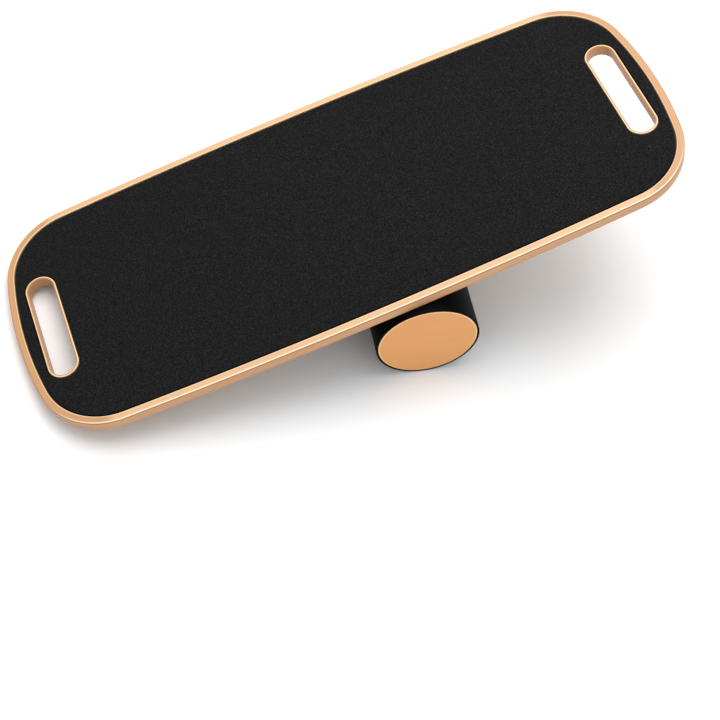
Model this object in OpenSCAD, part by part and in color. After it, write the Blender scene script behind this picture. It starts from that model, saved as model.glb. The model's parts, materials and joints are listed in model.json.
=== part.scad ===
/* [Deck] */
// overall length of the deck
deck_l = 800; // [600:1:1000]
// overall width of the deck
deck_w = 325; // [250:1:400]
// thickness of the deck at its edge
deck_t = 15; // [10:0.5:25]
// sweep radius of the long sides
side_r = 7640; // [3000:10:12000]
// sweep radius of the ends
end_r = 480; // [350:5:700]
// radius of the four corners
corner_r = 88; // [60:1:110]
// width of the wooden border strip
border_w = 8.9; // [6:0.1:20]
// rounding of the lower outer edge
edge_low = 1; // [0.5:0.1:5]
// rounding of the upper outer edge
edge_top = 1.6; // [0.5:0.1:3]
// small slope on the upper inner edge
edge_in = 0.8; // [0.3:0.1:2]
// glue line between wooden pieces
glue_line = 0.05; // [0.02:0.01:0.1]

/* [Grip pad] */
// thickness of the non-slip sheet
pad_t = 2.4; // [1:0.1:4]
// depth of the sheet's top below the border's top
pad_drop = 0.6; // [0.2:0.1:1.5]
// open gap between sheet and wood
pad_gap = 1.0; // [0.3:0.1:2]

/* [Hand slots] */
// distance of each slot's middle from the deck's middle
slot_x = 357; // [300:0.1:380]
// width of the slot over its wooden ring
slot_w = 36.6; // [28:0.1:60]
// length of the slot over its wooden ring
slot_l = 147; // [100:1:200]
// wall of the wooden ring
ring_w = 2.8; // [1.5:0.1:5]

/* [Stops under the deck] */
// distance of each stop's inner face from the middle
stop_x = 284; // [200:1:320]
// width of a stop bar
stop_w = 26; // [15:1:35]
// length of a stop bar
stop_l = 216; // [120:1:260]
// height of a stop bar
stop_h = 12; // [6:0.5:20]
// thickness of the rubber strip on a stop
strip_t = 3; // [1:0.5:6]
// shank radius of a stop screw
screw_r = 2; // [1.5:0.1:3]
// head radius of a stop screw
screw_head_r = 4.2; // [3:0.1:6]
// spacing of the stop screws
screw_pitch = 84; // [40:1:100]
// straight rim of a screw's head
screw_rim = 0.5; // [0.3:0.1:1]
// depth that a screw's head is sunk below the stop's face
screw_sink = 0.1; // [0.05:0.05:0.5]
// length that a screw reaches into the deck
screw_in = 8.4; // [4:0.1:10]
// length of the cross slot in a screw's head
drive_l = 4.4; // [2:0.1:6]
// width of the cross slot
drive_w = 0.9; // [0.5:0.1:1.5]
// depth of the cross slot below the stop's face
drive_d = 1; // [0.5:0.1:1.5]
// clearance round a screw
screw_clear = 0.05; // [0.02:0.01:0.2]

/* [Roller] */
// outside radius of the roller over its sleeve
roll_r = 60.4; // [40:0.1:90]
// length of the roller
roll_l = 346; // [250:1:420]
// wall of the rubber sleeve
sleeve_t = 2.4; // [1:0.1:5]
// thickness of a wooden end disc
cap_t = 12; // [6:0.5:25]
// sloped edge of a wooden end disc
cap_edge = 0.9; // [0.3:0.1:2]
// wall of the tube
tube_t = 4; // [2:0.5:10]
// thickness of an inner plug
plug_t = 18; // [12:1:30]
// thickness of the wall in the middle
rib_t = 12; // [6:1:30]
// radius of the centre dowel
dowel_r = 10; // [6:0.5:20]
// wall of the bush between dowel and rib
bush_t = 3; // [1.5:0.5:6]
// running clearance round the dowel and the bush
dowel_clear = 0.06; // [0.02:0.01:0.1]
// depth of the dowel's sockets in the plugs
socket_d = 12; // [6:1:20]
// end play of the dowel in each socket
dowel_play = 0.3; // [0.1:0.1:1]
// gap between roller and deck
roll_gap = 0.3; // [0.2:0.1:1]

/* [Pose] */
// the roller's place along the deck, from the deck's middle
roll_x = 60; // [-120:1:120]
// turn of the deck on the roller
deck_turn = 8.9; // [-20:0.1:20]

/* [Hidden] */
$fn = 96;
half_l = deck_l / 2;
half_w = deck_w / 2;
// middles of the side arc and the end arc
side_c = half_w - side_r;
end_c = half_l - end_r;
// middle of a corner arc: it touches the side arc and the end arc from inside
cc_r1 = side_r - corner_r;
cc_r2 = end_r - corner_r;
cc_d = sqrt(end_c * end_c + side_c * side_c);
cc_a = (cc_r1 * cc_r1 - cc_r2 * cc_r2 + cc_d * cc_d) / (2 * cc_d);
cc_h = sqrt(cc_r1 * cc_r1 - cc_a * cc_a);
cc_ux = end_c / cc_d;
cc_uy = -side_c / cc_d;
cx = cc_a * cc_ux + cc_h * cc_uy;
cy = side_c + cc_a * cc_uy - cc_h * cc_ux;
// directions from the arc middles to the corner's middle
a_side = atan2(cy - side_c, cx);
a_end = atan2(cy, cx - end_c);
// steps along a bent corner, a bowed end and a bowed side
corner_steps = 24;
end_steps = 12;
side_steps = 24;
// steps round a screw and round a bowed side's full circle
screw_steps = 32;
rail_steps = 720;
// heights in the deck, from its underside
core_t = deck_t - pad_drop - pad_t;
// how far a cutting solid runs past the face it cuts
cut = 1;
// depth of a screw head's straight rim, and of its cone
rim_d = screw_sink + screw_rim;
cone_d = screw_head_r - screw_r;
slot_in_w = slot_w - 2 * ring_w;
slot_in_l = slot_l - 2 * ring_w;
// cross-section of the border strip: distance out from its inner face, and height
edge_k = 1 - sqrt(0.5);
strip_section = [[0, 0],
                 [border_w - edge_low, 0],
                 [border_w - edge_low * edge_k, edge_low * edge_k],
                 [border_w, edge_low],
                 [border_w, deck_t - edge_top],
                 [border_w - edge_top * edge_k, deck_t - edge_top * edge_k],
                 [border_w - edge_top, deck_t],
                 [edge_in, deck_t],
                 [0, deck_t - edge_in]];
// stations along the edge, each [middle x, middle y, radius, direction]
function arc_stations(mx, my, r, a0, a1, n, skip_first = 0, skip_last = 0) =
  [for (i = [skip_first : n - skip_last]) [mx, my, r, a0 + (a1 - a0) * i / n]];
end_stations = concat(
  arc_stations(cx, -cy, corner_r, -a_side, -a_end, corner_steps),
  arc_stations(end_c, 0, end_r, -a_end, a_end, end_steps, 1),
  arc_stations(cx, cy, corner_r, a_end, a_side, corner_steps, 1));
// half of the way round the deck: the right end and the far side
half_stations = concat(end_stations,
  arc_stations(0, side_c, side_r, a_side, 180 - a_side, side_steps, 1, 1));
// the deck leans on the roller with its low end on the floor
low_reach = (abs(deck_turn) < a_end ? end_c * cos(deck_turn) + end_r
           : cx * cos(deck_turn) + cy * sin(abs(deck_turn)) + corner_r) - edge_low;
low_d = low_reach + roll_x * cos(deck_turn);
lift = roll_r + roll_gap;
tilt = atan2(lift, low_d) + asin(roll_r / sqrt(low_d * low_d + lift * lift));
// the roller, from its middle outwards
tube_r = roll_r - sleeve_t;
bore_r = tube_r - tube_t;
half_roll = roll_l / 2;
cap_y = half_roll - cap_t;
plug_y = cap_y - plug_t;
dowel_l = 2 * (plug_y + socket_d - dowel_play);
bush_r = dowel_r + dowel_clear + bush_t;

// the deck's own frame: underside at 0, long axis along x, laid on the roller
module on_roller() {
  translate([0, 0, roll_r])
    rotate([0, -tilt, 0])
      translate([-roll_x * cos(deck_turn), -roll_x * sin(deck_turn), lift])
        rotate([0, 0, deck_turn])
          children();
}

// flat outline of the deck, moved in by a distance
module outline(inset) {
  polygon([for (side = [1, -1], st = half_stations)
    [side * (st[0] + (st[2] - inset) * cos(st[3])),
     side * (st[1] + (st[2] - inset) * sin(st[3]))]]);
}

// flat slot with round ends, long side across the deck, grown by a distance
module slot(w, l, grow) {
  r = w / 2 + grow;
  s = (l - w) / 2;
  square([2 * r, 2 * s], center = true);
  for (q = [-1, 1]) {
    intersection() {
      translate([0, q * s]) circle(r = r);
      translate([0, q * (s + r)]) square([4 * r, 2 * r], center = true);
    }
  }
}

// a bowed side strip: one true arc
module rail(s) {
  rotate([0, 0, s > 0 ? 0 : 180])
    translate([0, side_c, 0])
      rotate([0, 0, a_side])
        rotate_extrude(angle = 180 - 2 * a_side, $fn = rail_steps)
          translate([side_r - border_w, 0]) polygon(strip_section);
}

// an end strip with its two corners, bent in one piece
module border_end(s) {
  m = len(strip_section);
  n = len(end_stations);
  points = [for (st = end_stations, p = strip_section)
    [st[0] + (st[2] - border_w + p[0]) * cos(st[3]),
     st[1] + (st[2] - border_w + p[0]) * sin(st[3]),
     p[1]]];
  sides = [for (i = [0 : n - 2], j = [0 : m - 1])
    [i * m + j, i * m + (j + 1) % m, (i + 1) * m + (j + 1) % m, (i + 1) * m + j]];
  first_cap = [for (j = [0 : m - 1]) m - 1 - j];
  last_cap = [for (j = [0 : m - 1]) (n - 1) * m + j];
  rotate([0, 0, s > 0 ? 0 : 180])
    polyhedron(points, concat(sides, [first_cap, last_cap]), convexity = 4);
}

module deck_core() {
  color("BurlyWood")
    on_roller()
      linear_extrude(height = core_t)
        difference() {
          outline(border_w + glue_line);
          for (s = [-1, 1]) {
            translate([s * slot_x, 0]) slot(slot_w, slot_l, glue_line);
            for (q = [-1, 0, 1]) {
              translate([s * (stop_x + stop_w / 2), q * screw_pitch])
                circle(r = screw_r + screw_clear);
            }
          }
        }
}

module rail_front() {
  color("SandyBrown") on_roller() rail(-1);
}

module rail_back() {
  color("SandyBrown") on_roller() rail(1);
}

module end_left() {
  color("Peru") on_roller() border_end(-1);
}

module end_right() {
  color("Peru") on_roller() border_end(1);
}

module grip_pad() {
  color("DimGray")
    on_roller()
      translate([0, 0, core_t])
        linear_extrude(height = pad_t)
          difference() {
            outline(border_w + pad_gap);
            for (s = [-1, 1]) {
              translate([s * slot_x, 0]) slot(slot_w, slot_l, pad_gap);
            }
          }
}

module slot_ring(s) {
  on_roller()
    translate([s * slot_x, 0, 0])
      linear_extrude(height = deck_t)
        difference() {
          slot(slot_w, slot_l, 0);
          slot(slot_in_w, slot_in_l, 0);
        }
}

module slot_ring_left() {
  color("Tan") slot_ring(-1);
}

module slot_ring_right() {
  color("Tan") slot_ring(1);
}

// wooden bar across the underside, drilled for three sunk screws
module stop_bar(s) {
  on_roller()
    difference() {
      translate([s * (stop_x + stop_w / 2), 0, -stop_h / 2])
        cube([stop_w, stop_l, stop_h], center = true);
      for (q = [-1, 0, 1]) {
        translate([s * (stop_x + stop_w / 2), q * screw_pitch, -stop_h]) {
          translate([0, 0, -cut])
            cylinder(r = screw_r + screw_clear, h = stop_h + 2 * cut, $fn = screw_steps);
          translate([0, 0, -cut])
            cylinder(r = screw_head_r + screw_clear, h = cut + rim_d, $fn = screw_steps);
          translate([0, 0, rim_d])
            cylinder(r1 = screw_head_r + screw_clear, r2 = screw_r + screw_clear,
                     h = cone_d, $fn = screw_steps);
        }
      }
    }
}

module stop_left() {
  color("Wheat") stop_bar(-1);
}

module stop_right() {
  color("Wheat") stop_bar(1);
}

module stop_strip(s) {
  on_roller()
    translate([s * (stop_x - strip_t / 2), 0, -stop_h / 2])
      cube([strip_t, stop_l, stop_h], center = true);
}

module stop_strip_left() {
  color("Black") stop_strip(-1);
}

module stop_strip_right() {
  color("Black") stop_strip(1);
}

module stop_screws(s) {
  on_roller()
    for (q = [-1, 0, 1]) {
      translate([s * (stop_x + stop_w / 2), q * screw_pitch, -stop_h])
        difference() {
          union() {
            translate([0, 0, screw_sink])
              cylinder(r = screw_head_r, h = screw_rim, $fn = screw_steps);
            translate([0, 0, rim_d])
              cylinder(r1 = screw_head_r, r2 = screw_r, h = cone_d, $fn = screw_steps);
            translate([0, 0, rim_d])
              cylinder(r = screw_r, h = stop_h - rim_d + screw_in, $fn = screw_steps);
          }
          cube([drive_l, drive_w, 2 * drive_d], center = true);
          cube([drive_w, drive_l, 2 * drive_d], center = true);
        }
    }
}

module stop_screws_left() {
  color("Silver") stop_screws(-1);
}

module stop_screws_right() {
  color("Silver") stop_screws(1);
}

// a round piece lying along the roller's axis, from y = a to y = b
module along(a, b, r) {
  translate([0, b, roll_r]) rotate([90, 0, 0]) cylinder(r = r, h = b - a);
}

module roller_sleeve() {
  color("Black")
    difference() {
      along(-half_roll, half_roll, roll_r);
      along(-half_roll - cut, half_roll + cut, tube_r + glue_line);
    }
}

module roller_tube() {
  color("Gray")
    difference() {
      along(-cap_y, cap_y, tube_r);
      along(-cap_y - cut, cap_y + cut, bore_r);
    }
}

// wooden disc closing one end of the tube, its rim sloped
module end_disc(s) {
  translate([0, 0, roll_r])
    rotate([-s * 90, 0, 0]) {
      translate([0, 0, cap_y]) cylinder(r = tube_r, h = cap_t - cap_edge);
      translate([0, 0, half_roll - cap_edge])
        cylinder(r1 = tube_r, r2 = tube_r - cap_edge, h = cap_edge);
    }
}

module end_disc_front() {
  color("Chocolate") end_disc(-1);
}

module end_disc_back() {
  color("Chocolate") end_disc(1);
}

// inner plug with a blind socket for the dowel
module plug(s) {
  translate([0, 0, roll_r])
    rotate([-s * 90, 0, 0])
      difference() {
        translate([0, 0, plug_y]) cylinder(r = bore_r - glue_line, h = plug_t);
        translate([0, 0, plug_y - cut]) cylinder(r = dowel_r + dowel_clear, h = socket_d + cut);
      }
}

module plug_front() {
  color("Khaki") plug(-1);
}

module plug_back() {
  color("Khaki") plug(1);
}

module roller_rib() {
  color("DarkKhaki")
    difference() {
      along(-rib_t / 2, rib_t / 2, bore_r - glue_line);
      along(-rib_t, rib_t, bush_r + dowel_clear);
    }
}

module rib_bush() {
  color("Gainsboro")
    difference() {
      along(-rib_t / 2, rib_t / 2, bush_r);
      along(-rib_t, rib_t, dowel_r + dowel_clear);
    }
}

module centre_dowel() {
  color("BurlyWood") along(-dowel_l / 2, dowel_l / 2, dowel_r);
}

deck_core();
rail_front();
rail_back();
end_left();
end_right();
grip_pad();
slot_ring_left();
slot_ring_right();
stop_left();
stop_right();
stop_strip_left();
stop_strip_right();
stop_screws_left();
stop_screws_right();
roller_sleeve();
roller_tube();
end_disc_front();
end_disc_back();
plug_front();
plug_back();
roller_rib();
rib_bush();
centre_dowel();
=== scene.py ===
import bmesh
import json
import math
import bpy
import numpy as np
from mathutils import Matrix, Vector


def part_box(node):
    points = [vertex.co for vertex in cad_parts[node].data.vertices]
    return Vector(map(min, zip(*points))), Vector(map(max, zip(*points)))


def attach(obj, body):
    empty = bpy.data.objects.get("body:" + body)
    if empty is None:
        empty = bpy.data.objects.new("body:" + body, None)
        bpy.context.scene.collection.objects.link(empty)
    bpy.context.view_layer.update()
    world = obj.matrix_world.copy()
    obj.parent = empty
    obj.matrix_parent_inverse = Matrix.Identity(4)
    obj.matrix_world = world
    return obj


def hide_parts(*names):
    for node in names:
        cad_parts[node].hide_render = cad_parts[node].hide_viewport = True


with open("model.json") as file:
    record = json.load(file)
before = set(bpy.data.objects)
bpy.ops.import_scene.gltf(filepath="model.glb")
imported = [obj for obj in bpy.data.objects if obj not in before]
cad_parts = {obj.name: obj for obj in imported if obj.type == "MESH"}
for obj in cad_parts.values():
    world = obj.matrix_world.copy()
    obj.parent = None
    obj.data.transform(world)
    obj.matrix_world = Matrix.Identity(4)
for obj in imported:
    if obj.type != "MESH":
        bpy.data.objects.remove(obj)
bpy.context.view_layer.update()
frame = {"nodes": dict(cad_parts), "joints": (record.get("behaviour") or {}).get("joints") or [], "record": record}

mm = 0.001

# the deck's outline: two bowed sides, two bowed ends and four round corners
deck = {
    "length": 800 * mm,
    "width": 325 * mm,
    "thick": 15 * mm,
    "sideRadius": 7.64,
    "endRadius": 480 * mm,
    "cornerRadius": 88 * mm,
    "turn": math.radians(8.9),  # turn of the deck on the roller
}
padTop = 14.4 * mm  # heights over the deck's underside
padBottom = 12.0 * mm


def mountOf(name):
    return next(m for m in frame["record"]["mounts"] if m["name"] == name)


def jointOf(name):
    return next(j for j in frame["joints"] if j["name"] == name)


gripMount = mountOf("grip_top")
tilt = math.atan2(-gripMount["axis"][0], gripMount["axis"][2])


def deckPlace():
    # turned about Z, leaned about Y, and set so that the middle of the grip sheet meets its mount
    turned = Matrix.Rotation(-tilt, 3, "Y") @ Matrix.Rotation(deck["turn"], 3, "Z")
    return np.array(turned), np.array(Vector(gripMount["pos_m"]) - turned @ Vector((0, 0, padTop)))


deckTurn, deckOrigin = deckPlace()


def toFrame(points):
    # from the deck's own axes to the shared frame
    return np.asarray(points, float).reshape(-1, 3) @ deckTurn.T + deckOrigin


def sheetLevel():
    # height of the grip sheet's top, measured along the deck's own upright
    return (Matrix.Rotation(tilt, 3, "Y") @ Vector(gripMount["pos_m"])).z


def cornerMiddle():
    # a corner's arc has its middle where two circles cross: one of radius (side - corner) about the
    # middle of the side's arc, one of radius (end - corner) about the middle of the end's arc
    sideY = deck["width"] / 2 - deck["sideRadius"]
    endX = deck["length"] / 2 - deck["endRadius"]
    fromSide = deck["sideRadius"] - deck["cornerRadius"]
    fromEnd = deck["endRadius"] - deck["cornerRadius"]
    apart = math.hypot(endX, sideY)
    along = (fromSide * fromSide - fromEnd * fromEnd + apart * apart) / (2 * apart)
    beside = math.sqrt(fromSide * fromSide - along * along)
    stepX, stepY = endX / apart, -sideY / apart
    return along * stepX + beside * stepY, sideY + along * stepY - beside * stepX, sideY, endX


cornerX, cornerY, sideY, endX = cornerMiddle()
sideAngle = math.atan2(cornerY - sideY, cornerX)  # direction in which the corner's arc meets the side's
endAngle = math.atan2(cornerY, cornerX - endX)  # and the end's


def arc(middleX, middleY, radius, start, stop, steps):
    # middle + radius * (cos a, sin a), with (cos a, sin a) kept as the outward direction
    angle = np.linspace(start, stop, steps + 1)
    cos, sin = np.cos(angle), np.sin(angle)
    return np.column_stack([middleX + radius * cos, middleY + radius * sin, cos, sin])


def joined(parts):
    # paths end to end, with the point where two meet kept once
    return np.vstack([parts[0]] + [part[1:] for part in parts[1:]])


def endEdge(steps):
    # the right end with its two corners, from near to far
    return joined([
        arc(cornerX, -cornerY, deck["cornerRadius"], -sideAngle, -endAngle, steps),
        arc(endX, 0, deck["endRadius"], -endAngle, endAngle, steps),
        arc(cornerX, cornerY, deck["cornerRadius"], endAngle, sideAngle, steps)])


def sideEdge(steps):
    # the far side, from right to left
    return arc(0, sideY, deck["sideRadius"], sideAngle, math.pi - sideAngle, steps)


def slotEdge(x, width, length, steps, straight):
    # round ended slot, counter-clockwise from the middle of its +x side
    radius, top = width / 2, (length - width) / 2
    rise = np.linspace(0, top, straight + 1)
    one, nought = np.ones_like(rise), np.zeros_like(rise)
    right = np.column_stack([x + radius * one, rise, one, nought])
    left = np.column_stack([x - radius * one, rise[::-1], -one, nought])
    farHalf = joined([right, arc(x, top, radius, 0, math.pi, steps), left])
    nearHalf = np.array([2 * x, 0, 0, 0]) - farHalf
    return joined([farHalf, nearHalf])[:-1]


def pathLengths(points):
    # distance along a path at each of its points
    return np.concatenate([[0], np.cumsum(np.linalg.norm(np.diff(points, axis=0), axis=1))])


def spaced(path, steps):
    # steps + 1 points evenly along a path, directions kept at unit length
    along = pathLengths(path[:, :2])
    at = np.linspace(0, along[-1], steps + 1)
    even = np.column_stack([np.interp(at, along, column) for column in path.T])
    even[:, 2:] /= np.linalg.norm(even[:, 2:], axis=1)[:, None]
    return even


def setOff(path, out):
    # a path moved along its own outward directions
    moved = path.copy()
    moved[:, :2] += moved[:, 2:] * out
    return moved


softSteps = 5  # steps of each softened corner


def softened(corners, radii):
    # a closed outline with each corner swapped for an arc that touches both of its sides, at a distance of
    # radius / tan(half the corner's angle) from it, but at most 0.49 of the shorter side
    point = np.asarray(corners, float)
    back, ahead = np.roll(point, 1, 0) - point, np.roll(point, -1, 0) - point
    backLong, aheadLong = np.linalg.norm(back, axis=1), np.linalg.norm(ahead, axis=1)
    back, ahead = back / backLong[:, None], ahead / aheadLong[:, None]
    half = np.arccos(np.clip((back * ahead).sum(1), -1, 1)) / 2
    reach = np.minimum(np.asarray(radii) / np.tan(half), 0.49 * np.minimum(backLong, aheadLong))
    radius = reach * np.tan(half)
    inward = (back + ahead) / np.linalg.norm(back + ahead, axis=1)[:, None]
    middle = point + inward * (radius / np.sin(half))[:, None]
    start, stop = point + back * reach[:, None] - middle, point + ahead * reach[:, None] - middle
    first = np.arctan2(start[:, 1], start[:, 0])
    turn = (np.arctan2(stop[:, 1], stop[:, 0]) - first + math.pi) % (2 * math.pi) - math.pi
    angle = first[:, None] + turn[:, None] * np.linspace(0, 1, softSteps + 1)
    ring = middle[:, None] + radius[:, None, None] * np.stack([np.cos(angle), np.sin(angle)], -1)
    return ring.reshape(-1, 2)


def gridQuads(rows, cols, wrapRows, wrapCols):
    # the quads of a grid of points, either way closed on itself or open
    row = np.arange(rows if wrapRows else rows - 1)[:, None]
    col = np.arange(cols if wrapCols else cols - 1)[None, :]
    nextRow, nextCol = (row + 1) % rows, (col + 1) % cols
    corners = [row * cols + col, nextRow * cols + col, nextRow * cols + nextCol, row * cols + nextCol]
    return np.stack(corners, -1).reshape(-1, 4)


def makeObject(name, points, quads, caps=(), uv=None, weld=0.0):
    mesh = bpy.data.meshes.new(name)
    mesh.from_pydata(points.tolist(), [], quads.tolist() + [list(c) for c in caps])
    if uv is not None:
        at = np.zeros(len(mesh.loops), np.int32)
        mesh.loops.foreach_get("vertex_index", at)
        mesh.uv_layers.new(name="grain").data.foreach_set("uv", uv[at].astype(np.float32).ravel())
    mesh.polygons.foreach_set("use_smooth", np.ones(len(mesh.polygons), bool))
    bm = bmesh.new()
    bm.from_mesh(mesh)
    if weld:
        bmesh.ops.remove_doubles(bm, verts=bm.verts, dist=weld)
    bmesh.ops.recalc_face_normals(bm, faces=bm.faces)
    for face in [f for f in bm.faces if len(f.verts) > 4]:
        # caps stay flat, with a crisp edge
        face.smooth = False
        for edge in face.edges:
            edge.smooth = False
    openEdges = sum(len(edge.link_faces) != 2 for edge in bm.edges)
    bm.to_mesh(mesh)
    bm.free()
    if openEdges:
        print(name, "has open edges:", openEdges)
    obj = bpy.data.objects.new(name, mesh)
    bpy.context.scene.collection.objects.link(obj)
    return obj


def sweptStrip(name, path, section, closed, start=0.0):
    # path + outward direction * section's out, with the section's height as z
    # its map runs along the path from its middle and round the section, both in metres
    rows, cols = len(path), len(section)
    x = path[:, None, 0] + path[:, None, 2] * section[None, :, 0]
    y = path[:, None, 1] + path[:, None, 3] * section[None, :, 0]
    z = np.broadcast_to(section[None, :, 1], (rows, cols))
    along = pathLengths(path[:, :2])
    uv = np.stack(np.broadcast_arrays((along - along[-1] / 2)[:, None] + start,
                                      pathLengths(section)[None, :]), -1).reshape(-1, 2)
    caps = () if closed else (range(cols), range((rows - 1) * cols, rows * cols))
    return makeObject(name, toFrame(np.stack([x, y, z], -1)), gridQuads(rows, cols, closed, True), caps, uv)


def turnedPiece(name, section, wrap, steps, height):
    # a section of (place along y, radius) turned about the roller's axis:
    # (radius * cos a, place, height + radius * sin a)
    angle = np.linspace(0, 2 * math.pi, steps, endpoint=False)[:, None]
    radius = section[:, 1]
    y = np.broadcast_to(section[None, :, 0], (steps, len(section)))
    points = np.stack([np.cos(angle) * radius, y, height + np.sin(angle) * radius], -1).reshape(-1, 3)
    return makeObject(name, points, gridQuads(steps, len(section), True, wrap), weld=1e-6)


def addNode(tree, kind, **values):
    # each value goes to the node's own property of that name, or else to its socket
    node = tree.nodes.new("ShaderNode" + kind)
    for name, value in values.items():
        if hasattr(node, name):
            setattr(node, name, value)
        else:
            node.inputs[name.replace("_", " ")].default_value = value
    return node


def feed(tree, value, socket):
    # a number or a colour goes on the socket itself, anything else is wired to it
    if isinstance(value, (int, float)):
        socket.default_value = value
    elif isinstance(value, tuple):
        socket.default_value = value if len(value) == 4 else (*value, 1)
    else:
        tree.links.new(value, socket)


def placed(tree, kind, scale=(1, 1, 1), turn=(0, 0, 0), shift=(0, 0, 0), way="POINT"):
    # the piece's own coordinates, in metres, scaled, turned and moved
    mapping = addNode(tree, "Mapping", vector_type=way, Scale=scale, Rotation=turn, Location=shift)
    tree.links.new(addNode(tree, "TexCoord").outputs[kind], mapping.inputs["Vector"])
    return mapping.outputs["Vector"]


def noise(tree, vector, scale=1.0, detail=3.0, rough=0.55, warp=0.0):
    node = addNode(tree, "TexNoise", Scale=scale, Detail=detail, Roughness=rough, Distortion=warp)
    tree.links.new(vector, node.inputs["Vector"])
    return node.outputs["Fac"]


def ramp(tree, value, tones):
    # tones: (place from 0 to 1, colour) in rising order
    node = addNode(tree, "ValToRGB")
    elements = node.color_ramp.elements
    for _ in tones[2:]:
        elements.new(0.5)
    for element, (at, color) in zip(elements, tones):
        element.position = at
        element.color = (*color, 1)
    tree.links.new(value, node.inputs["Fac"])
    return node.outputs["Color"]


def spread(tree, value, low, high, toLow=0.0, toHigh=1.0, smooth=False):
    # low to high becomes toLow to toHigh, and stays there outside them
    node = addNode(tree, "MapRange", interpolation_type="SMOOTHSTEP" if smooth else "LINEAR")
    for i, number in enumerate((low, high, toLow, toHigh)):
        node.inputs[i + 1].default_value = number
    tree.links.new(value, node.inputs["Value"])
    return node.outputs["Result"]


def blend(tree, share, a, b):
    # (1 - share) * a + share * b
    node = addNode(tree, "Mix", data_type="RGBA")
    for value, socket in ((share, node.inputs[0]), (a, node.inputs[6]), (b, node.inputs[7])):
        feed(tree, value, socket)
    return node.outputs[2]


def calc(tree, kind, a, b):
    node = addNode(tree, "Math", operation=kind)
    feed(tree, a, node.inputs[0])
    feed(tree, b, node.inputs[1])
    return node.outputs[0]


def laid(tree, color, tone, share, most):
    # a tone laid over a colour where share is 1, at most as strong as most
    return blend(tree, calc(tree, "MULTIPLY", share, most), color, tone)


def axisOf(tree, vector, name):
    node = addNode(tree, "SeparateXYZ")
    tree.links.new(vector, node.inputs[0])
    return node.outputs[name]


def lengthOf(tree, vector):
    node = addNode(tree, "VectorMath", operation="LENGTH")
    tree.links.new(vector, node.inputs[0])
    return node.outputs["Value"]


def band(tree, value, low, high, soft):
    # 1 between low and high, falling to 0 over soft on either side
    up = spread(tree, value, low - soft, low, smooth=True)
    down = spread(tree, value, high, high + soft, 1.0, 0.0, smooth=True)
    return calc(tree, "MULTIPLY", up, down)


def finishMaterial(name, build, **fixed):
    # build gives colour, roughness, bump height, and the bump's depth in metres and strength
    material = bpy.data.materials.new(name)
    material.use_nodes = True
    tree = material.node_tree
    tree.nodes.clear()
    shader = addNode(tree, "BsdfPrincipled")
    tree.links.new(shader.outputs["BSDF"], addNode(tree, "OutputMaterial").inputs["Surface"])
    color, rough, height, depth, strength = build(tree)
    feed(tree, color, shader.inputs["Base Color"])
    feed(tree, rough, shader.inputs["Roughness"])
    if height is not None:
        bump = addNode(tree, "Bump", Distance=depth, Strength=strength)
        tree.links.new(height, bump.inputs["Height"])
        tree.links.new(bump.outputs["Normal"], shader.inputs["Normal"])
    for key, value in fixed.items():
        shader.inputs[key.replace("_", " ")].default_value = value
    return material


grain = {  # marks to the metre, along the grain and across it
    "streak": (2.6, 210, 210),
    "pore": (26, 1700, 1700),
    "cloud": (5, 24, 24),
}


def grained(tree, kind, turn, light, mid, dark):
    # long soft streaks with fine pore lines between them, both lying along the first axis
    streak = noise(tree, placed(tree, kind, grain["streak"], turn), detail=4, rough=0.62, warp=0.35)
    pore = noise(tree, placed(tree, kind, grain["pore"], turn), detail=3, rough=0.6)
    cloud = noise(tree, placed(tree, kind, grain["cloud"], turn), detail=2)
    color = ramp(tree, streak, [(0.28, light), (0.52, mid), (0.78, dark)])
    color = blend(tree, spread(tree, cloud, 0.35, 0.7, 0.0, 0.4), color, mid)
    color = blend(tree, spread(tree, pore, 0.55, 0.74, 0.0, 0.32), color, dark)
    height = calc(tree, "SUBTRACT", calc(tree, "MULTIPLY", streak, 0.6), calc(tree, "MULTIPLY", pore, 0.45))
    return color, streak, height


strip = {
    "wide": 8.9 * mm,
    "edgeLow": 1.0 * mm,
    "edgeTop": 1.6 * mm,
    "edgeIn": 0.8 * mm,
    "out": -0.03 * mm,  # from the deck's own outline, so a hair inside it
    "grooveDeep": 0.2 * mm,
    "grooveHalf": 0.4 * mm,
    "jointGap": 0.02 * mm,
    "paleEnds": 26 * mm,
    "sideSteps": 90,
    "endSteps": 40,
    # painted highlight tones of the top's outer rounding and inner chamfer
    "outerHighlightTone": (0.95, 0.80, 0.60),
    "innerHighlightTone": (0.88, 0.64, 0.37),
    # painted shade: tone of the strip's side, darker than its top
    "sideShadeTone": (0.515, 0.272, 0.122),
    # painted shade: tone of the foot along the bottom edge
    "footShadeTone": (0.50, 0.215, 0.075),
    # painted shade: tone of the groove under the top's rounding
    "grooveShadeTone": (0.27, 0.112, 0.036),
    "brownTone": (0.36, 0.165, 0.062),
    # painted shade: near-black tone of the strip's inner face at the gap
    "gapShadeTone": (0.008, 0.005, 0.004),
    "railTones": ((0.685, 0.425, 0.243), (0.655, 0.398, 0.218), (0.610, 0.360, 0.188)),
    "endTones": ((0.545, 0.295, 0.135), (0.508, 0.266, 0.116), (0.462, 0.232, 0.095)),
}


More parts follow.
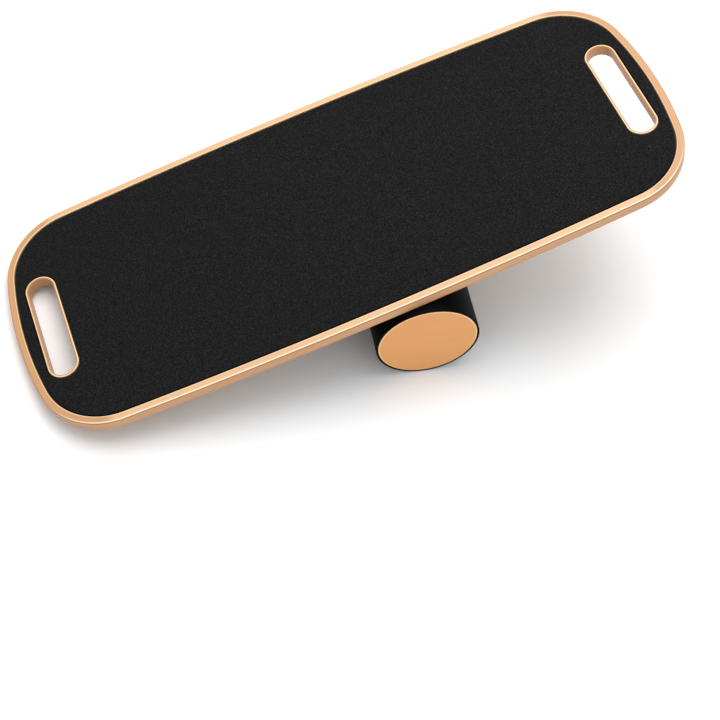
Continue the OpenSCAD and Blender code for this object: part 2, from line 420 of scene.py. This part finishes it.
def stripOutline():
    # the section, from the inner foot out along the bottom, up past the groove and back over the top
    wide, thick = strip["wide"], deck["thick"]
    low, top, inner = strip["edgeLow"], strip["edgeTop"], strip["edgeIn"]
    deep, half = strip["grooveDeep"], strip["grooveHalf"]
    grooveZ = thick - top - 1.1 * half
    cut = 1 - math.sqrt(0.5)  # how far in a quarter arc's middle lies, as a share of its radius
    corners = [(-wide, 0), (-low, 0), (-low * cut, low * cut), (0, low),
               (0, grooveZ - half), (-deep, grooveZ), (0, grooveZ + half),
               (0, thick - top), (-top * cut, thick - top * cut), (-top, thick),
               (-wide + inner, thick), (-wide, thick - inner)]
    radii = np.array([0.2, 0.9, 0.9, 0.9, 0.25, 0.3, 0.25, 1.4, 1.4, 1.4, 0.6, 0.6]) * mm
    return softened(corners, radii) + [strip["out"], 0], grooveZ


stripSection, grooveZ = stripOutline()
stripGirth = pathLengths(stripSection)


def girthAt(out, up):
    # distance round the section of its point nearest to (out, up)
    return float(stripGirth[np.argmin(np.hypot(stripSection[:, 0] - out, stripSection[:, 1] - up))])


sideFrom, sideTo = girthAt(0, strip["edgeLow"]), girthAt(0, grooveZ)
bendTo = girthAt(-strip["edgeTop"], deck["thick"])
innerFrom = girthAt(-strip["wide"] + strip["edgeIn"], deck["thick"])
stripCoat = {"Coat_Weight": 0.10, "Coat_Roughness": 0.25, "Specular_IOR_Level": 0.35}


def stripWood(name, tones, halfLong=0.0, paleEnds=0.0):
    # lacquered wood: side painted darker than the top as painted shade, a groove line and a warm foot of painted
    # shade, and painted highlight lines along the top's two edges
    # paleEnds: how much of the strip, at each of its ends, goes over to the paler tone of the side strips
    def build(tree):
        color, streak, height = grained(tree, "UV", (0, 0, 0), *tones)
        if paleEnds:
            pale, _, _ = grained(tree, "UV", (0, 0, 0), *strip["railTones"])
            along = calc(tree, "ABSOLUTE", axisOf(tree, placed(tree, "UV"), "X"), 0.0)
            share = spread(tree, along, halfLong - paleEnds, halfLong - 0.35 * paleEnds, smooth=True)
            color = laid(tree, color, pale, share, 0.92)
            byEnds = spread(tree, along, halfLong - 4.5 * paleEnds, halfLong - 1.5 * paleEnds, smooth=True)
        girth = axisOf(tree, placed(tree, "UV"), "Y")
        # painted shade: the strip's side is painted darker than its top
        lighter, darker = (tuple(c * k for c in strip["sideShadeTone"]) for k in (1.12, 0.9))
        sideShadeColor = blend(tree, spread(tree, streak, 0.3, 0.7), lighter, darker)
        color = laid(tree, color, sideShadeColor, band(tree, girth, 0.0, sideTo, 0.5 * mm), 0.86)
        # painted shade: the foot along the bottom edge is painted darker and warmer
        footShade = band(tree, girth, 0.0, sideFrom + 0.6 * mm, 1.2 * mm)
        color = laid(tree, color, strip["footShadeTone"], footShade, 0.55)
        # painted shade in the groove under the top's rounding
        grooveShade = band(tree, girth, sideTo - 0.45 * mm, sideTo + 0.9 * mm, 0.3 * mm)
        color = laid(tree, color, strip["grooveShadeTone"], grooveShade, 0.75)
        # painted highlight lines along the top's outer rounding and inner chamfer, broken up by noise
        wearAndHighlightNoise = spread(tree, noise(tree, placed(tree, "UV", (60, 300, 300)), detail=3), 0.25, 0.7, 1.0, 0.7)
        outerHighlightLine = band(tree, girth, bendTo - 1.4 * mm, bendTo - 0.2 * mm, 0.25 * mm)
        outerHighlightLine = calc(tree, "MULTIPLY", outerHighlightLine, wearAndHighlightNoise)
        innerHighlightLine = band(tree, girth, innerFrom - 0.3 * mm, innerFrom + 0.8 * mm, 0.25 * mm)
        innerHighlightLine = calc(tree, "MULTIPLY", innerHighlightLine, wearAndHighlightNoise)
        if paleEnds:
            # between its ends the outer edge is darker brown, its painted highlight line dies away, the inner
            # painted highlight is weaker
            brown = band(tree, girth, sideTo + 0.6 * mm, bendTo - 0.7 * mm, 0.3 * mm)
            brown = calc(tree, "MULTIPLY", brown, spread(tree, byEnds, 0.0, 1.0, 0.7, 0.0))
            color = blend(tree, brown, color, strip["brownTone"])
            outerHighlightLine = calc(tree, "MULTIPLY", outerHighlightLine, byEnds)
            innerHighlightLine = calc(tree, "MULTIPLY", innerHighlightLine, spread(tree, byEnds, 0.0, 1.0, 0.6, 1.0))
        color = blend(tree, outerHighlightLine, color, strip["outerHighlightTone"])
        color = blend(tree, innerHighlightLine, color, strip["innerHighlightTone"])
        # painted shade: the strip's inner face, seen in the gap to the grip sheet, is painted near black
        hidden = band(tree, girth, innerFrom + 1.2 * mm, float(stripGirth[-1]), 0.3 * mm)
        color = laid(tree, color, strip["gapShadeTone"], hidden, 0.95)
        return color, spread(tree, streak, 0.2, 0.8, 0.36, 0.5), height, 0.00012, 0.35
    return finishMaterial(name, build, **stripCoat)


def drawnIn(path, gap):
    # both ends of a path moved in, for the hairline of the joint
    shorter = path.copy()
    for end, beside in ((0, 1), (-1, -2)):
        step = shorter[beside, :2] - shorter[end, :2]
        shorter[end, :2] += step / np.linalg.norm(step) * gap
    return shorter


farSide, rightEnd = sideEdge(strip["sideSteps"]), endEdge(strip["endSteps"])
railWood = stripWood("railWood", strip["railTones"])
endWood = stripWood("endWood", strip["endTones"], pathLengths(rightEnd[:, :2])[-1] / 2, strip["paleEnds"])
strips = {  # path, wood, and where along the grain the strip was cut
    "rail_back": (farSide, railWood, 0.0),
    "rail_front": (-farSide, railWood, 2.0),
    "end_right": (rightEnd, endWood, 0.0),
    "end_left": (-rightEnd, endWood, 0.0),
}
for node, (path, wood, start) in strips.items():
    piece = sweptStrip("border_" + node, drawnIn(path, strip["jointGap"] / 2), stripSection, False, start)
    piece.data.materials.append(wood)
    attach(piece, "deck")
    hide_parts(node)
print("border strips made")

slots = {
    "x": 357 * mm,
    "width": 36.6 * mm,
    "length": 147 * mm,
    "wall": 2.8 * mm,
    "lip": 0.9 * mm,  # rounding of the inner top edge
    "roundSteps": 32,
    "straightSteps": 24,
    "grainStart": 3.0,
    "wallTones": ((0.40, 0.200, 0.085), (0.54, 0.300, 0.140)),
    "lipTone": (0.44, 0.205, 0.078),
}
ringSection = softened([(0, 0), (0, deck["thick"]), (-slots["wall"], deck["thick"]), (-slots["wall"], 0)],
                       np.array([0.2, 0.4, slots["lip"] / mm, 0.7]) * mm)
ringGirth = pathLengths(ringSection)
ringLip = float(ringGirth[np.argmin(np.hypot(ringSection[:, 0] + slots["wall"],
                                             ringSection[:, 1] - deck["thick"]))])


def ringWood():
    # painted highlight on the outer rim, browner lip, and a wall with fine marks of the cutter across it
    def build(tree):
        color, streak, height = grained(tree, "UV", (0, 0, 0), *strip["endTones"])
        girth = axisOf(tree, placed(tree, "UV"), "Y")
        marks = noise(tree, placed(tree, "UV", (900, 8, 8)), detail=2)
        wallColor = blend(tree, spread(tree, marks, 0.3, 0.7), *slots["wallTones"])
        wall = band(tree, girth, ringLip + slots["lip"], float(ringGirth[-1]), 0.6 * mm)
        color = laid(tree, color, wallColor, wall, 0.9)
        # painted highlight along the ring's outer top edge
        rim = band(tree, girth, deck["thick"] - 0.4 * mm, deck["thick"] + 0.9 * mm, 0.3 * mm)
        color = laid(tree, color, strip["innerHighlightTone"], rim, 0.9)
        lip = band(tree, girth, ringLip - 0.7 * mm, ringLip + 0.7 * mm, 0.3 * mm)
        color = laid(tree, color, slots["lipTone"], lip, 0.6)
        return color, spread(tree, streak, 0.2, 0.8, 0.38, 0.52), height, 0.00012, 0.35
    return finishMaterial("ringWood", build, **stripCoat)


ringMaterial = ringWood()
for side, sign in (("left", -1), ("right", 1)):
    path = slotEdge(sign * slots["x"], slots["width"], slots["length"],
                    slots["roundSteps"], slots["straightSteps"])
    piece = sweptStrip("ring_" + side, path, ringSection, True, slots["grainStart"] + sign)
    piece.data.materials.append(ringMaterial)
    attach(piece, "deck")
    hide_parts("slot_ring_" + side)
print("slot rings made")

grip = {
    "gap": 1.25 * mm,
    "round": 0.8 * mm,
    "rimSteps": 4,
    "seamX": 288 * mm,  # where the fields round the slots end and the middle one begins
    "seamSteps": 72,  # along a seam; the outline round a slot takes twice as many
    "ringSteps": 8,  # from a slot's edge out to the outline
    "fieldSteps": 48,  # along the middle field
    "sideSteps": 80,
    "endSteps": 60,
    "roundSteps": 40,
    "straightSteps": 30,
    "gritTones": ((0.0016, 0.0016, 0.0017), (0.0098, 0.0098, 0.0101)),
    "litTone": (0.0195, 0.0196, 0.0200),
    "fleckTone": (0.040, 0.040, 0.041),
    "cloudTone": (0.0048, 0.0048, 0.0050),
    # painted shade: tone of the sheet's rim below its top
    "rimShadeTone": (0.0004, 0.0004, 0.0004),
}


def levelled(flat, z):
    # flat points, all at one height
    return np.concatenate([flat, np.full(flat.shape[:-1] + (1,), z)], -1)


def gripMesh():
    # two rings of sheet, each between a slot and the outline round it, and a bowed middle field between
    # them; a ring is (1 - t) * its slot's edge + t * the outline, the field runs straight across the deck,
    # and a rounded rim drops from each edge
    inset, reach, count = strip["wide"] + grip["gap"], grip["seamX"], grip["seamSteps"]
    far = setOff(sideEdge(grip["sideSteps"]), -inset)
    ends = setOff(endEdge(grip["endSteps"]), -inset)

    # outer edge of the right ring, from the near end of the seam round the end to its far end
    mirror = np.array([1, -1, 1, -1])
    farPart = far[far[:, 0] > reach]
    corner = np.array([[reach] + [float(np.interp(reach, far[::-1, 0], far[::-1, i])) for i in (1, 2, 3)]])
    outline = [corner * mirror, farPart[::-1] * mirror, ends, farPart, corner]
    edge = spaced(np.vstack(outline), 2 * count)
    slot = slotEdge(slots["x"], slots["width"] + 2 * grip["gap"], slots["length"] + 2 * grip["gap"],
                    grip["roundSteps"], grip["straightSteps"])
    quarter = len(slot) // 4
    outerHalf = spaced(np.roll(slot, quarter, 0)[:2 * quarter + 1], 2 * count)
    innerHalf = spaced(np.roll(slot, -quarter, 0)[:2 * quarter + 1], count)
    slotLoop = np.vstack([outerHalf[:-1], innerHalf[:-1]])
    spine = spaced(np.vstack([corner, far[np.abs(far[:, 0]) < reach], corner * np.array([-1, 1, -1, 1])]),
                   grip["fieldSteps"])

    parts = []
    share = np.linspace(0, 1, grip["ringSteps"] + 1)[:, None, None]
    across = np.linspace(1, -1, count + 1)
    for z, drawn in ((padTop, grip["round"]), (padBottom, 0.0)):
        outer = setOff(edge, -drawn)[:, :2]
        seamX, seamY = outer[-1]  # the seam ends on the drawn-in outline
        seam = np.column_stack([np.full(count - 1, seamX), across[1:-1] * seamY])
        outer = np.vstack([outer, seam])
        inner = np.vstack([setOff(outerHalf, drawn)[:, :2], setOff(innerHalf, drawn)[1:-1, :2]])
        ring = (1 - share) * inner + share * outer
        for sign in (1, -1):
            parts.append((levelled(sign * ring, z), gridQuads(*ring.shape[:2], False, True)))
        top = setOff(spine, -drawn)[:, :2]
        x = np.broadcast_to(top[:, None, :1], (len(top), count + 1, 1))
        field = np.concatenate([x, top[:, None, 1:] * across[None, :, None]], -1)
        parts.append((levelled(field, z), gridQuads(*field.shape[:2], False, False)))

    bend = np.linspace(0, math.pi / 2, grip["rimSteps"] + 1)
    rim = np.column_stack([np.sin(bend) - 1, np.cos(bend) - 1]) * grip["round"] + [0, padTop]
    rim = np.vstack([rim, [[0, padBottom]]])
    loop = np.vstack([edge[:-1], spine[:-1], -edge[:-1], -spine[:-1]])
    for path, sign in ((loop, 1), (slotLoop, -1), (-slotLoop, -1)):
        flat = path[:, None, :2] + path[:, None, 2:] * rim[None, :, :1] * sign
        z = np.broadcast_to(rim[None, :, 1:], flat.shape[:2] + (1,))
        parts.append((np.concatenate([flat, z], -1), gridQuads(*flat.shape[:2], True, False)))

    points = [points.reshape(-1, 3) for points, _ in parts]
    firsts = np.cumsum([0] + [len(p) for p in points[:-1]])
    return np.vstack(points), np.vstack([quads + first for (_, quads), first in zip(parts, firsts)])


def gripSheet():
    # matt black non-slip sheet: packed grit with a few lit grains, and a rim painted near black as painted shade
    def build(tree):
        place = placed(tree, "Object")
        grit = noise(tree, place, 620, 2, 0.75)
        fleck = noise(tree, place, 1100, 2, 0.7)
        cloud = noise(tree, place, 7, 3, 0.6)
        color = blend(tree, spread(tree, grit, 0.40, 0.62), *grip["gritTones"])
        color = blend(tree, spread(tree, grit, 0.56, 0.70, 0.0, 0.8), color, grip["litTone"])
        color = blend(tree, spread(tree, fleck, 0.60, 0.74, 0.0, 0.6), color, grip["fleckTone"])
        color = blend(tree, spread(tree, cloud, 0.35, 0.7, 0.0, 0.2), color, grip["cloudTone"])
        # painted shade: everything of the sheet below its top face is painted near black
        rise = axisOf(tree, placed(tree, "Object", (1, 1, 1), (0, tilt, 0)), "Z")
        cut = spread(tree, rise, sheetLevel() - 0.06 * mm, sheetLevel() - 0.008 * mm, 1.0, 0.0)
        color = blend(tree, cut, color, grip["rimShadeTone"])
        return color, spread(tree, grit, 0.3, 0.7, 0.92, 0.72), grit, 0.0006, 0.6
    return finishMaterial("gripSheet", build, Specular_IOR_Level=0.12)


piece = makeObject("grip_sheet", *gripMesh(), weld=2e-5)
piece.data.transform(Matrix.Translation(deckOrigin) @ Matrix(deckTurn.tolist()).to_4x4())
piece.data.materials.append(gripSheet())
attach(piece, "deck")
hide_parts("grip_pad")
print("grip sheet made")

roller = {
    "radius": 60.4 * mm,
    "half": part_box("roller_sleeve")[1][1],
    "sleeve": 2.35 * mm,
    "sleeveEdge": 0.8 * mm,
    "discRadius": 58.0 * mm,
    "discThick": 12 * mm,
    "discEdge": 0.9 * mm,
    "discRim": 4 * mm,  # how much of the disc's radius its outer section takes
    "discRings": 12,
    "height": jointOf("deck_tilt")["pos_m"][2],
    "steps": 192,
    "sleeveTones": ((0.0010, 0.0010, 0.0011), (0.0022, 0.0022, 0.0024)),
    "discTones": ((0.735, 0.343, 0.115), (0.722, 0.334, 0.110), (0.703, 0.319, 0.103)),
    "discCloud": (0.711, 0.327, 0.108),
    "discFibre": (0.66, 0.285, 0.088),
    "discPale": (0.83, 0.40, 0.14),
    # painted highlight tone of the disc's rim
    "discRimHighlight": (0.97, 0.62, 0.34),
}


def sleeveRubber():
    # smooth black cover: low soft sheen, faint draw lines along it and fine peel
    def build(tree):
        lines = noise(tree, placed(tree, "Object", (640, 5, 640)), detail=2)
        peel = noise(tree, placed(tree, "Object"), 380, 2)
        cloud = noise(tree, placed(tree, "Object"), 13, 3, 0.6)
        color = blend(tree, spread(tree, cloud, 0.3, 0.7), *roller["sleeveTones"])
        height = calc(tree, "ADD", calc(tree, "MULTIPLY", lines, 0.4), calc(tree, "MULTIPLY", peel, 0.5))
        return color, spread(tree, cloud, 0.3, 0.7, 0.42, 0.52), height, 0.00012, 0.3
    return finishMaterial("sleeveRubber", build, Specular_IOR_Level=0.03)


def discWood():
    # flat disc: faint wide growth lines, short fine fibres, a paler rim band and a painted highlight line on the
    # rim
    def build(tree):
        turn = (0, math.radians(-14), 0)
        wave = noise(tree, placed(tree, "Object", (7, 1, 60), turn, (0.4, 0, 0.1)), detail=3, warp=0.5)
        fibre = noise(tree, placed(tree, "Object", (70, 1, 1200), turn), detail=3, rough=0.6)
        cloud = noise(tree, placed(tree, "Object"), 19, 2)
        color = ramp(tree, wave, list(zip((0.3, 0.52, 0.75), roller["discTones"])))
        color = blend(tree, spread(tree, cloud, 0.3, 0.7, 0.0, 0.5), color, roller["discCloud"])
        color = blend(tree, spread(tree, fibre, 0.55, 0.75, 0.0, 0.16), color, roller["discFibre"])
        fromAxis = lengthOf(tree, placed(tree, "Object", (1, 0, 1), (0, 0, 0), (0, 0, -roller["height"])))
        edge = roller["discRadius"] - roller["discEdge"]
        pale = spread(tree, fromAxis, edge - 1.8 * mm, edge - 1.5 * mm, 0.0, 0.35)
        color = blend(tree, pale, color, roller["discPale"])
        # painted highlight line along the disc's rim
        rim = band(tree, fromAxis, edge - 0.7 * mm, edge + 0.35 * mm, 0.25 * mm)
        color = laid(tree, color, roller["discRimHighlight"], rim, 0.85)
        height = calc(tree, "ADD", calc(tree, "MULTIPLY", wave, 0.4), calc(tree, "MULTIPLY", fibre, 0.5))
        return color, spread(tree, wave, 0.2, 0.8, 0.42, 0.54), height, 0.0001, 0.25
    return finishMaterial("discWood", build, Coat_Weight=0.06, Coat_Roughness=0.3, Specular_IOR_Level=0.3)


def sleeveSection():
    half, outside, edge = roller["half"], roller["radius"], roller["sleeveEdge"] / mm
    inside = outside - roller["sleeve"]
    return softened([(-half, outside), (-half, inside), (half, inside), (half, outside)],
                    np.array([edge, 0.25, 0.25, edge]) * mm)


def discSection():
    # from the middle of the hidden face out to the rim and back to the middle of the outer face
    radius, edge, face = roller["discRadius"], roller["discEdge"], roller["half"]
    start, hiddenFace = radius - roller["discRim"], face - roller["discThick"]
    rim = softened([(hiddenFace, start), (hiddenFace, radius), (face - edge, radius), (face, radius - edge),
                    (face, start)], np.array([0, 0.3, 0.6, 0.6, 0]) * mm)[softSteps + 1:-softSteps - 1]
    rings = np.linspace(1, 0, roller["discRings"])[:, None] * start
    outer = np.hstack([np.full_like(rings, face), rings])
    hidden = np.hstack([np.full_like(rings, hiddenFace), rings])[::-1]
    return np.vstack([hidden, rim, outer])


piece = turnedPiece("sleeve", sleeveSection(), True, roller["steps"], roller["height"])
piece.data.materials.append(sleeveRubber())
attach(piece, "roller")
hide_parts("roller_sleeve")

discMaterial = discWood()
for side, sign in (("front", -1), ("back", 1)):
    section = discSection() * np.array([sign, 1])
    piece = turnedPiece("disc_" + side, section, False, roller["steps"], roller["height"])
    piece.data.materials.append(discMaterial)
    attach(piece, "roller")
    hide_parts("end_disc_" + side)
print("roller made")

# tones of the parts under the deck and in the roller: light, middle and dark, or only the two ends
inside = {
    "core": ((0.60, 0.385, 0.215), (0.535, 0.33, 0.175), (0.44, 0.255, 0.125)),
    "coreFigure": (0.42, 0.24, 0.115),
    # painted shade: black tone for the core's top where it shows in the gap
    "glue": (0.003, 0.003, 0.003),
    "inner": ((0.62, 0.43, 0.26), (0.56, 0.37, 0.21), (0.46, 0.29, 0.15)),
    "stop": ((0.60, 0.385, 0.22), (0.54, 0.33, 0.18), (0.45, 0.26, 0.13)),
    "steel": ((0.62, 0.61, 0.58), (0.44, 0.43, 0.41)),
    "rubber": ((0.010, 0.010, 0.010), (0.020, 0.020, 0.020)),
    "tube": ((0.05, 0.05, 0.05), (0.07, 0.07, 0.07)),
    "bush": ((0.62, 0.62, 0.60), (0.72, 0.72, 0.70)),
}


def coreWood():
    # plywood panel: open-grained face veneer, with its top painted black as painted shade for the gap round the
    # grip sheet
    def build(tree):
        lean = (0, tilt, 0)
        figure = noise(tree, placed(tree, "Object", (2.2, 40, 40), lean), detail=5, rough=0.6, warp=1.4)
        color, streak, height = grained(tree, "Object", lean, *inside["core"])
        color = blend(tree, spread(tree, figure, 0.42, 0.66, 0.0, 0.5), color, inside["coreFigure"])
        # painted shade: the core's top is painted black
        rise = axisOf(tree, placed(tree, "Object", (1, 1, 1), lean), "Z")
        sheetFoot = sheetLevel() - padTop + padBottom
        gapShadeLayer = spread(tree, rise, sheetFoot - 0.9 * mm, sheetFoot - 0.5 * mm)
        color = blend(tree, gapShadeLayer, color, inside["glue"])
        return color, spread(tree, streak, 0.2, 0.8, 0.42, 0.56), height, 0.0002, 0.4
    return finishMaterial("coreWood", build, Coat_Weight=0.12, Coat_Roughness=0.3)


def plainWood(name, tones, turn=(0, 0, 0)):
    def build(tree):
        color, streak, height = grained(tree, "Object", turn, *tones)
        return color, spread(tree, streak, 0.2, 0.8, 0.45, 0.6), height, 0.0002, 0.4
    return finishMaterial(name, build, Coat_Weight=0.08, Coat_Roughness=0.35)


def finePlastic(name, tones, roughLow, roughHigh):
    # rubber or plastic with a fine grain
    def build(tree):
        specks = noise(tree, placed(tree, "Object"), 800, 3, 0.6)
        color = blend(tree, spread(tree, specks, 0.35, 0.7), *tones)
        return color, spread(tree, specks, 0.3, 0.7, roughLow, roughHigh), specks, 0.0002, 0.45
    return finishMaterial(name, build, Specular_IOR_Level=0.3)


def platedSteel():
    def build(tree):
        wearAndHighlightNoise = noise(tree, placed(tree, "Object", (900, 900, 140)), detail=3)
        color = blend(tree, spread(tree, wearAndHighlightNoise, 0.3, 0.7), *inside["steel"])
        return color, spread(tree, wearAndHighlightNoise, 0.3, 0.7, 0.24, 0.42), wearAndHighlightNoise, 0.0001, 0.35
    return finishMaterial("platedSteel", build, Metallic=1.0)


innerWood = plainWood("innerWood", inside["inner"])
stopWood = plainWood("stopWood", inside["stop"], (0, tilt, math.radians(90)))  # grain across the deck
stripRubber = finePlastic("stripRubber", inside["rubber"], 0.7, 0.85)
steel = platedSteel()

stops = {
    "x": 284 * mm,
    "wide": 26 * mm,
    "strip": 3 * mm,
    "long": 216 * mm,
    "high": 12 * mm,
    "shy": 0.2 * mm,  # how far the bar stays short of the screw heads
    "corner": 4 * mm,
    "edge": 2.4 * mm,
    "stripEdge": 0.9 * mm,
    "cornerSteps": 8,
}


def softBar(name, x0, x1, depth, corner, edge):
    # a plan with round corners, carried down a section whose lower edge is rounded:
    # plan + outward direction * section's out, with the section's height as z
    y = stops["long"] / 2 - corner
    low, high = min(x0, x1) + corner, max(x0, x1) - corner
    corners = ((high, y), (low, y), (low, -y), (high, -y))
    plan = np.vstack([arc(*middle, corner, i * math.pi / 2, (i + 1) * math.pi / 2, stops["cornerSteps"])
                      for i, middle in enumerate(corners)])
    bend = np.linspace(0, math.pi / 2, stops["cornerSteps"] + 1)
    out = np.concatenate([[0], edge * (np.cos(bend) - 1)])
    z = np.concatenate([[0], edge * (1 - np.sin(bend)) - depth])
    flat = plan[:, None, :2] + plan[:, None, 2:] * out[None, :, None]
    points = np.concatenate([flat, np.broadcast_to(z[None, :, None], flat.shape[:2] + (1,))], -1)
    rows, cols = len(plan), len(out)
    return makeObject(name, toFrame(points), gridQuads(rows, cols, True, False),
                      (range(0, rows * cols, cols), range(cols - 1, rows * cols, cols)))


for side, sign in (("left", -1), ("right", 1)):
    inner, face = sign * stops["x"], sign * (stops["x"] - stops["strip"])
    bar = softBar("bar_" + side, inner, inner + sign * stops["wide"], stops["high"] - stops["shy"],
                  stops["corner"], stops["edge"])
    pad = softBar("strip_" + side, face, inner, stops["high"], stops["stripEdge"], stops["stripEdge"])
    for piece, material, slot, node in ((bar, stopWood, "wood_border", "stop_" + side),
                                        (pad, stripRubber, "strip_rubber", "stop_strip_" + side)):
        piece.data.materials.append(material)
        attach(piece, "deck")
        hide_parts(node)
print("stops made")

# these keep their CAD shape and only get their finish
kept = {
    "deck_core": coreWood(),
    "stop_screws_left": steel,
    "stop_screws_right": steel,
    "roller_tube": finePlastic("tubePlastic", inside["tube"], 0.5, 0.62),
    "plug_front": innerWood,
    "plug_back": innerWood,
    "roller_rib": innerWood,
    "centre_dowel": innerWood,
    "rib_bush": finePlastic("bushPlastic", inside["bush"], 0.35, 0.5),
}
for node, material in kept.items():
    mesh = frame["nodes"][node].data
    mesh.materials.clear()
    mesh.materials.append(material)
print("kept pieces finished")

stage = {
    "floor": (0.90, 0.90, 0.90),
    "underFloor": (0.85, 0.894, 0.928),
    "underMiddle": (-0.03, -0.06, 0),
    "underHalf": (0.46, 0.27, 1),
    "underFull": 0.3,  # share of the oval's size up to which its tone is full
    "half": 12.0,
    "sky": 0.78,
    "lights": {
        "topBox": {"place": (0.25, 0.7, 2.5), "aim": (0, 0, 0), "wide": 2.4, "high": 2.4, "watts": 57},
        "frontBox": {"place": (0.9, -2.6, 1.5), "aim": (0, 0, 0.1), "wide": 1.8, "high": 1.4, "watts": 9},
    },
}


def floorPaper():
    # pale paper, a little cooler in an oval under the deck, where the wood throws warm light on it
    def build(tree):
        turn = (0, 0, deck["turn"])
        spot = placed(tree, "Object", stage["underHalf"], turn, stage["underMiddle"], "TEXTURE")
        share = spread(tree, lengthOf(tree, spot), stage["underFull"], 1.0, 1.0, 0.0, smooth=True)
        return blend(tree, share, stage["floor"], stage["underFloor"]), 0.9, None, 0, 0
    return finishMaterial("paper", build, Specular_IOR_Level=0.1)


def makeFloor():
    mesh = bpy.data.meshes.new("floor")
    half = stage["half"]
    corners = [(-half, -half, 0), (half, -half, 0), (half, half, 0), (-half, half, 0)]
    mesh.from_pydata(corners, [], [range(4)])
    obj = bpy.data.objects.new("floor", mesh)
    bpy.context.scene.collection.objects.link(obj)
    mesh.materials.append(floorPaper())


def softbox(name, place, aim, wide, high, watts):
    data = bpy.data.lights.new(name, "AREA")
    data.shape = "RECTANGLE"
    data.size, data.size_y, data.energy = wide, high, watts
    obj = bpy.data.objects.new(name, data)
    obj.location = place
    obj.rotation_euler = (Vector(aim) - Vector(place)).to_track_quat("-Z", "Y").to_euler()
    bpy.context.scene.collection.objects.link(obj)


makeFloor()
for name, values in stage["lights"].items():
    softbox(name, **values)
world = bpy.data.worlds.new("studio")
bpy.context.scene.world = world
world.use_nodes = True
world.node_tree.nodes["Background"].inputs["Color"].default_value = (1, 1, 1, 1)
world.node_tree.nodes["Background"].inputs["Strength"].default_value = stage["sky"]

view = {
    "place": (-0.36485, -1.08198, 1.46278),
    "turn": (33.6094, -4.1396, -11.3290),  # degrees
    "lens": 75,
    "sensor": 36,
    "clip": 100,
}
cameraData = bpy.data.cameras.new("camera")
cameraData.lens = view["lens"]
cameraData.sensor_width = view["sensor"]
cameraData.clip_end = view["clip"]
camera = bpy.data.objects.new("camera", cameraData)
camera.location = view["place"]
camera.rotation_euler = [math.radians(a) for a in view["turn"]]
bpy.context.scene.collection.objects.link(camera)
bpy.context.scene.camera = camera
bpy.context.scene.view_settings.view_transform = "Standard"
print("stage made")
